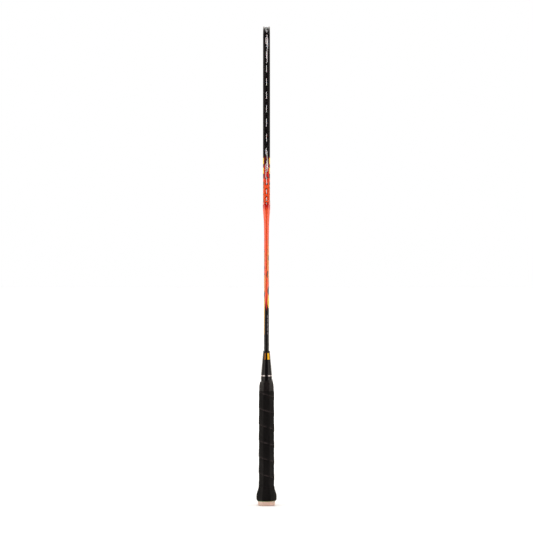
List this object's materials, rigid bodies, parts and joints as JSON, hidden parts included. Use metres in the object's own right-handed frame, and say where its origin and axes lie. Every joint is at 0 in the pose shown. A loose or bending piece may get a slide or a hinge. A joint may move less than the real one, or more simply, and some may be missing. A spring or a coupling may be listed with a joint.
{
  "type": "badminton racket",
  "caption": "Strung badminton racket: hollow grooved oval head with a woven string bed, slim shaft, tapered cone and wrapped octagonal handle with a flared butt.",
  "frame": {"origin": "middle of the butt end cap's outer face, on the shaft's axis", "axes": "+Z from the butt to the top of the head, +X across the head, +Y square to the string bed"},
  "size_m": [0.203, 0.0286, 0.675],
  "materials": {
    "frame_lacquer": "gloss lacquer over carbon fibre, black above and orange-red below",
    "joint_alloy": "cast, unfinished, hidden",
    "throat_lacquer": "gloss orange-red lacquer",
    "shaft_lacquer": "gloss orange-red lacquer running into black",
    "grommet_nylon": "moulded nylon",
    "string_nylon": "braided nylon",
    "cone_plastic": "gloss black",
    "band_foil": "bright",
    "handle_wood": "bare light wood",
    "grip_cushion": "matt black polyurethane wrap",
    "tape_film": "satin black tape",
    "plate_plastic": "satin pale pink-beige",
    "badge_film": "blank satin disc",
    "trim_foil": "green"
  },
  "bodies": {
    "root": {"head_frame": "frame_lacquer", "t_joint": "joint_alloy", "throat_fairing": "throat_lacquer", "shaft": "shaft_lacquer", "grommets_top": "grommet_nylon", "grommets_bottom": "grommet_nylon", "grommets_left": "grommet_nylon", "grommets_right": "grommet_nylon", "grommets_tie_off": "grommet_nylon", "main_string": "string_nylon", "cross_string": "string_nylon", "main_knots": "string_nylon", "cross_knots": "string_nylon", "cone_cap": "cone_plastic", "cone_band": "band_foil", "handle_core": "handle_wood", "grip_wrap": "grip_cushion", "finishing_tape": "tape_film", "butt_plate": "plate_plastic", "butt_badge": "badge_film", "butt_trim_ring": "trim_foil"}
  },
  "joints": []
}
